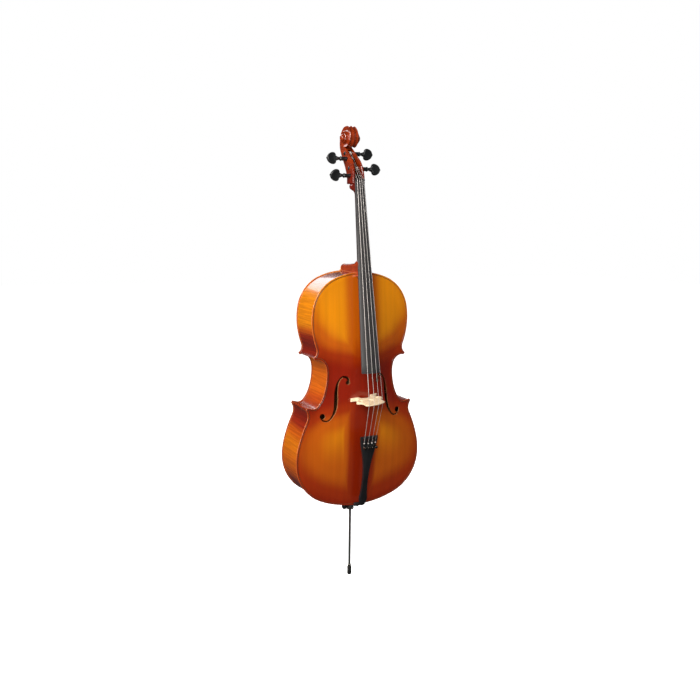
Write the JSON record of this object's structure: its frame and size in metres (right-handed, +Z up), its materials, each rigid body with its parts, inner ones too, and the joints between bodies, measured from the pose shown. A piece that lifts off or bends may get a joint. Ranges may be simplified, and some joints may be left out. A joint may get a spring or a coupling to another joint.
{
  "type": "cello",
  "caption": "Full-size cello standing on its drawn-out endpin: carved front and back on flamed ribs, scroll and pegs, bridge, tailpiece with built-in fine tuners.",
  "frame": {"origin": "middle of the rubber tip's foot, where the endpin meets the floor", "axes": "+Z up along the endpin, +X towards the treble side (the A string), -Y the way the strings and the front face"},
  "size_m": [0.4386, 0.2597, 1.4735],
  "materials": {
    "varnished_spruce": "gloss oil varnish, shaded from amber to dark red",
    "varnished_maple": "gloss oil varnish over flamed maple",
    "purfling": "dyed veneer let in flush",
    "raw_spruce": "bare planed wood",
    "ebony": "oiled and polished",
    "bridge_maple": "bare maple, fine sanded",
    "black_composite": "moulded satin",
    "tailgut_cord": "braided aramid cord",
    "string_steel": "flat wound, polished",
    "nickel_plate": "bright nickel",
    "drawn_steel": "drawn steel, satin",
    "black_rubber": "moulded matt"
  },
  "bodies": {
    "cello": {"top_plate": "varnished_spruce", "back_plate": "varnished_maple", "purfling_front": "purfling", "purfling_back": "purfling", "c_rib_bass": "varnished_maple", "c_rib_treble": "varnished_maple", "upper_rib_bass": "varnished_maple", "upper_rib_treble": "varnished_maple", "lower_rib_bass": "varnished_maple", "lower_rib_treble": "varnished_maple", "corner_blocks": "raw_spruce", "neck_block": "raw_spruce", "end_block": "raw_spruce", "linings_front": "raw_spruce", "linings_back": "raw_spruce", "bass_bar": "raw_spruce", "sound_post": "raw_spruce", "neck_scroll": "varnished_maple", "fingerboard": "ebony", "nut": "ebony", "saddle": "ebony", "bridge": "bridge_maple", "tailpiece": "black_composite", "tailgut": "tailgut_cord", "tuner_pins": "nickel_plate", "endpin_plug": "black_composite", "endpin_sleeve": "drawn_steel", "string_c": "string_steel", "string_g": "string_steel", "string_d": "string_steel", "string_a": "string_steel"},
    "peg_c": {"peg_c": "ebony", "winding_c": "string_steel"},
    "tuner_screw_c": {"tuner_screw_c": "nickel_plate"},
    "tuner_knob_c": {"tuner_knob_c": "nickel_plate"},
    "tuner_lever_c": {"tuner_lever_c": "black_composite"},
    "peg_g": {"peg_g": "ebony", "winding_g": "string_steel"},
    "tuner_screw_g": {"tuner_screw_g": "nickel_plate"},
    "tuner_knob_g": {"tuner_knob_g": "nickel_plate"},
    "tuner_lever_g": {"tuner_lever_g": "black_composite"},
    "peg_d": {"peg_d": "ebony", "winding_d": "string_steel"},
    "tuner_screw_d": {"tuner_screw_d": "nickel_plate"},
    "tuner_knob_d": {"tuner_knob_d": "nickel_plate"},
    "tuner_lever_d": {"tuner_lever_d": "black_composite"},
    "peg_a": {"peg_a": "ebony", "winding_a": "string_steel"},
    "tuner_screw_a": {"tuner_screw_a": "nickel_plate"},
    "tuner_knob_a": {"tuner_knob_a": "nickel_plate"},
    "tuner_lever_a": {"tuner_lever_a": "black_composite"},
    "endpin": {"endpin_rod": "drawn_steel", "endpin_ferrule": "nickel_plate"},
    "rubber_tip": {"rubber_tip": "black_rubber"},
    "clamp_screw": {"endpin_clamp_screw": "nickel_plate"},
    "clamp_knob": {"endpin_clamp_knob": "black_composite"}
  },
  "joints": [
    {"name": "peg_c_turn", "type": "hinge", "parent": "cello", "child": "peg_c", "pos_m": [0, -0.014, 1.3175], "axis": [-1, 0, 0], "continuous": true},
    {"name": "peg_g_turn", "type": "hinge", "parent": "cello", "child": "peg_g", "pos_m": [0, 0.02, 1.3715], "axis": [-1, 0, 0], "continuous": true},
    {"name": "peg_d_turn", "type": "hinge", "parent": "cello", "child": "peg_d", "pos_m": [0, 0.037, 1.39], "axis": [1, 0, 0], "continuous": true},
    {"name": "peg_a_turn", "type": "hinge", "parent": "cello", "child": "peg_a", "pos_m": [0, -0.002, 1.341], "axis": [1, 0, 0], "continuous": true},
    {"name": "tuner_c_travel", "type": "slide", "parent": "cello", "child": "tuner_screw_c", "axis": [0, -0.9819, -0.1895], "range_m": [-0.0015, 0.0015]},
    {"name": "tuner_c_turn", "type": "hinge", "parent": "tuner_screw_c", "child": "tuner_knob_c", "pos_m": [-0.0195, -0.12959, 0.48105], "axis": [0, -0.9819, -0.1895], "range_deg": [-1081, 1081]},
    {"name": "tuner_c_lever", "type": "hinge", "parent": "cello", "child": "tuner_lever_c", "pos_m": [-0.0195, -0.12594, 0.49907], "axis": [1, 0, 0], "range_deg": [-5.1, 5.1]},
    {"name": "tuner_g_travel", "type": "slide", "parent": "cello", "child": "tuner_screw_g", "axis": [0, -0.9819, -0.1895], "range_m": [-0.0015, 0.0015]},
    {"name": "tuner_g_turn", "type": "hinge", "parent": "tuner_screw_g", "child": "tuner_knob_g", "pos_m": [-0.0065, -0.13185, 0.48062], "axis": [0, -0.9819, -0.1895], "range_deg": [-1081, 1081]},
    {"name": "tuner_g_lever", "type": "hinge", "parent": "cello", "child": "tuner_lever_g", "pos_m": [-0.0065, -0.1282, 0.49863], "axis": [1, 0, 0], "range_deg": [-5.1, 5.1]},
    {"name": "tuner_d_travel", "type": "slide", "parent": "cello", "child": "tuner_screw_d", "axis": [0, -0.9819, -0.1895], "range_m": [-0.0015, 0.0015]},
    {"name": "tuner_d_turn", "type": "hinge", "parent": "tuner_screw_d", "child": "tuner_knob_d", "pos_m": [0.0065, -0.13185, 0.48062], "axis": [0, -0.9819, -0.1895], "range_deg": [-1081, 1081]},
    {"name": "tuner_d_lever", "type": "hinge", "parent": "cello", "child": "tuner_lever_d", "pos_m": [0.0065, -0.1282, 0.49863], "axis": [1, 0, 0], "range_deg": [-5.1, 5.1]},
    {"name": "tuner_a_travel", "type": "slide", "parent": "cello", "child": "tuner_screw_a", "axis": [0, -0.9819, -0.1895], "range_m": [-0.0015, 0.0015]},
    {"name": "tuner_a_turn", "type": "hinge", "parent": "tuner_screw_a", "child": "tuner_knob_a", "pos_m": [0.0195, -0.12959, 0.48105], "axis": [0, -0.9819, -0.1895], "range_deg": [-1081, 1081]},
    {"name": "tuner_a_lever", "type": "hinge", "parent": "cello", "child": "tuner_lever_a", "pos_m": [0.0195, -0.12594, 0.49907], "axis": [1, 0, 0], "range_deg": [-5.1, 5.1]},
    {"name": "endpin_slide", "type": "slide", "parent": "cello", "child": "endpin", "axis": [0, 0, 1], "range_m": [-0.15, 0.195]},
    {"name": "rubber_tip_pull", "type": "slide", "parent": "endpin", "child": "rubber_tip", "axis": [0, 0, -1], "range_m": [0, 0.03]},
    {"name": "clamp_travel", "type": "slide", "parent": "cello", "child": "clamp_screw", "axis": [-0.9397, -0.342, 0], "range_m": [0, 0.0025]},
    {"name": "clamp_turn", "type": "hinge", "parent": "clamp_screw", "child": "clamp_knob", "pos_m": [0, 0, 0.246], "axis": [-0.9397, -0.342, 0], "range_deg": [0, 901]}
  ],
  "couplings": [
    {"joint": "tuner_c_turn", "follows": "tuner_c_travel", "rad_per_m": 12566},
    {"joint": "tuner_c_lever", "follows": "tuner_c_travel", "rad_per_m": -58.824},
    {"joint": "tuner_g_turn", "follows": "tuner_g_travel", "rad_per_m": 12566},
    {"joint": "tuner_g_lever", "follows": "tuner_g_travel", "rad_per_m": -58.824},
    {"joint": "tuner_d_turn", "follows": "tuner_d_travel", "rad_per_m": 12566},
    {"joint": "tuner_d_lever", "follows": "tuner_d_travel", "rad_per_m": -58.824},
    {"joint": "tuner_a_turn", "follows": "tuner_a_travel", "rad_per_m": 12566},
    {"joint": "tuner_a_lever", "follows": "tuner_a_travel", "rad_per_m": -58.824},
    {"joint": "clamp_turn", "follows": "clamp_travel", "rad_per_m": 6283.2}
  ]
}
